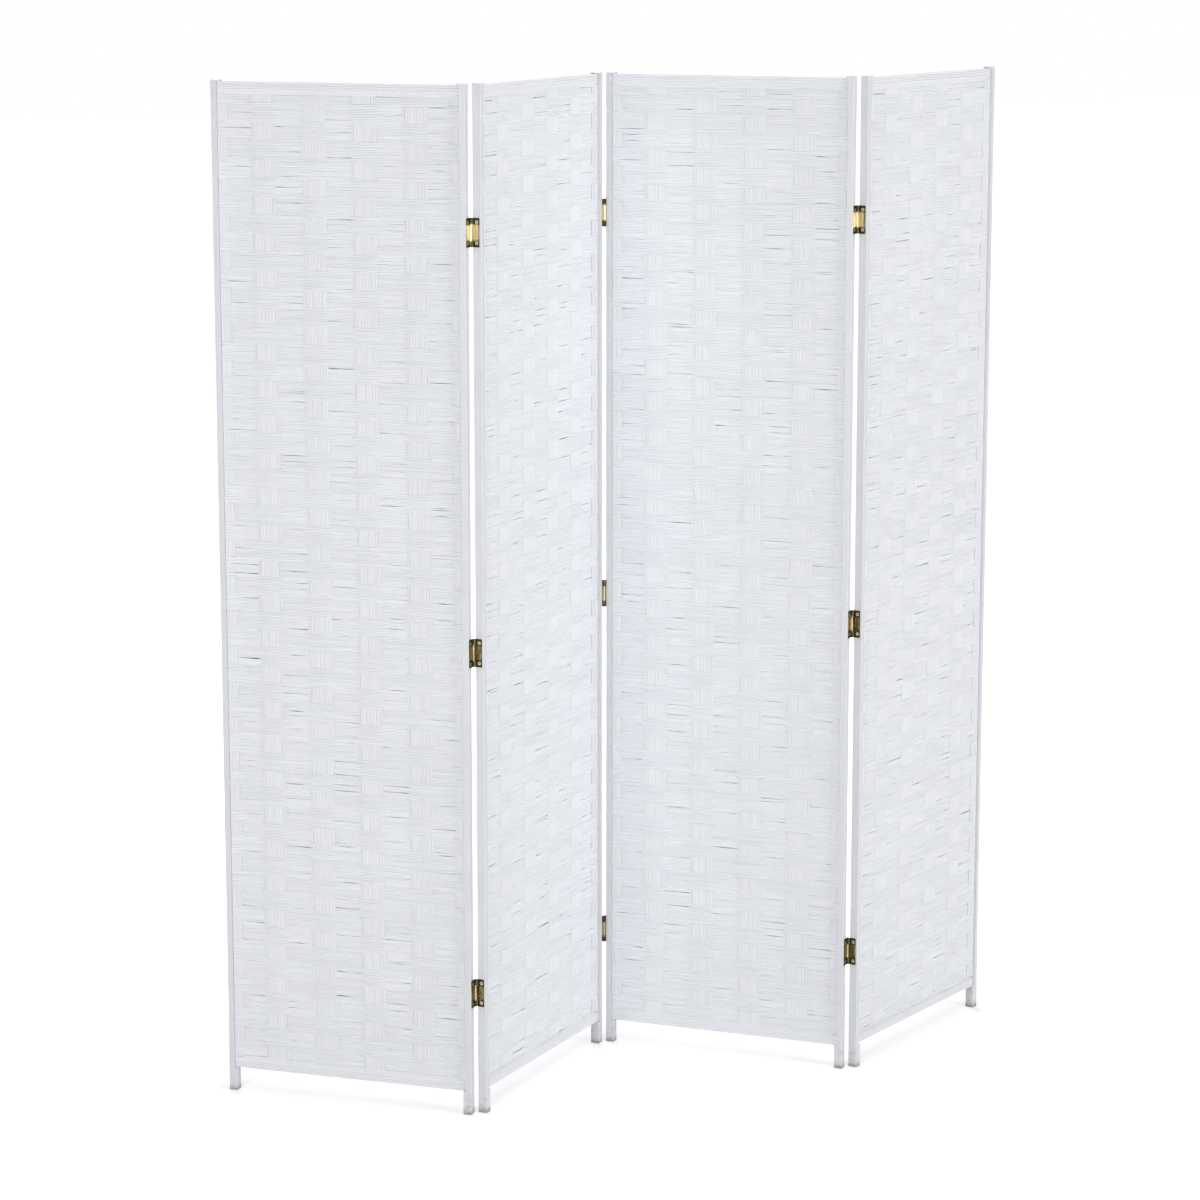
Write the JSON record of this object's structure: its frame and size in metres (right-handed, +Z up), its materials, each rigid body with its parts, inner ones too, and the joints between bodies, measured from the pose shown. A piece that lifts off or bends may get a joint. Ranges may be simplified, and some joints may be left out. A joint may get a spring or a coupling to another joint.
{
  "type": "folding screen",
  "caption": "Freestanding folding screen: upright slats woven with flat rows of paper fibre in slim painted wood frames, joined by brass butt hinges so that it folds like a fan.",
  "frame": {"origin": "on the floor, at the centre of the standing screen's outline", "axes": "+Z up, +X along the screen from its first panel to its fourth, front facing -Y"},
  "size_m": [1.442, 0.3254, 1.75],
  "materials": {
    "painted_wood": "satin white paint",
    "inner_wood": "matt white paint",
    "paper_fibre": "white woven paper fibre",
    "hinge_brass": "lacquered brass",
    "pin_brass": "turned brass",
    "screw_brass": "polished brass countersunk heads"
  },
  "bodies": {
    "panel_1": {"hinge_12_bottom_left_leaf": "hinge_brass", "hinge_12_left_screws": "screw_brass", "hinge_12_middle_left_leaf": "hinge_brass", "hinge_12_pins": "pin_brass", "hinge_12_top_left_leaf": "hinge_brass", "panel_1_bindings": "paper_fibre", "panel_1_bottom_rail": "inner_wood", "panel_1_left_stile": "painted_wood", "panel_1_rail_dowels": "inner_wood", "panel_1_right_stile": "painted_wood", "panel_1_slats": "inner_wood", "panel_1_top_rail": "inner_wood", "panel_1_weave": "paper_fibre"},
    "panel_2": {"hinge_12_bottom_right_leaf": "hinge_brass", "hinge_12_middle_right_leaf": "hinge_brass", "hinge_12_right_screws": "screw_brass", "hinge_12_top_right_leaf": "hinge_brass", "hinge_23_bottom_left_leaf": "hinge_brass", "hinge_23_left_screws": "screw_brass", "hinge_23_middle_left_leaf": "hinge_brass", "hinge_23_pins": "pin_brass", "hinge_23_top_left_leaf": "hinge_brass", "panel_2_bindings": "paper_fibre", "panel_2_bottom_rail": "inner_wood", "panel_2_left_stile": "painted_wood", "panel_2_rail_dowels": "inner_wood", "panel_2_right_stile": "painted_wood", "panel_2_slats": "inner_wood", "panel_2_top_rail": "inner_wood", "panel_2_weave": "paper_fibre"},
    "panel_3": {"hinge_23_bottom_right_leaf": "hinge_brass", "hinge_23_middle_right_leaf": "hinge_brass", "hinge_23_right_screws": "screw_brass", "hinge_23_top_right_leaf": "hinge_brass", "hinge_34_bottom_left_leaf": "hinge_brass", "hinge_34_left_screws": "screw_brass", "hinge_34_middle_left_leaf": "hinge_brass", "hinge_34_pins": "pin_brass", "hinge_34_top_left_leaf": "hinge_brass", "panel_3_bindings": "paper_fibre", "panel_3_bottom_rail": "inner_wood", "panel_3_left_stile": "painted_wood", "panel_3_rail_dowels": "inner_wood", "panel_3_right_stile": "painted_wood", "panel_3_slats": "inner_wood", "panel_3_top_rail": "inner_wood", "panel_3_weave": "paper_fibre"},
    "panel_4": {"hinge_34_bottom_right_leaf": "hinge_brass", "hinge_34_middle_right_leaf": "hinge_brass", "hinge_34_right_screws": "screw_brass", "hinge_34_top_right_leaf": "hinge_brass", "panel_4_bindings": "paper_fibre", "panel_4_bottom_rail": "inner_wood", "panel_4_left_stile": "painted_wood", "panel_4_rail_dowels": "inner_wood", "panel_4_right_stile": "painted_wood", "panel_4_slats": "inner_wood", "panel_4_top_rail": "inner_wood", "panel_4_weave": "paper_fibre"}
  },
  "joints": [
    {"name": "fold_12", "type": "hinge", "parent": "panel_1", "child": "panel_2", "pos_m": [-0.35369, -0.14956, 0], "axis": [0, 0, 1], "range_deg": [-82, 98]},
    {"name": "fold_23", "type": "hinge", "parent": "panel_2", "child": "panel_3", "pos_m": [-0.0121, 0.15028, 0], "axis": [0, 0, -1], "range_deg": [-85, 95]},
    {"name": "fold_34", "type": "hinge", "parent": "panel_3", "child": "panel_4", "pos_m": [0.34471, -0.13127, 0], "axis": [0, 0, 1], "range_deg": [-77, 103]}
  ]
}
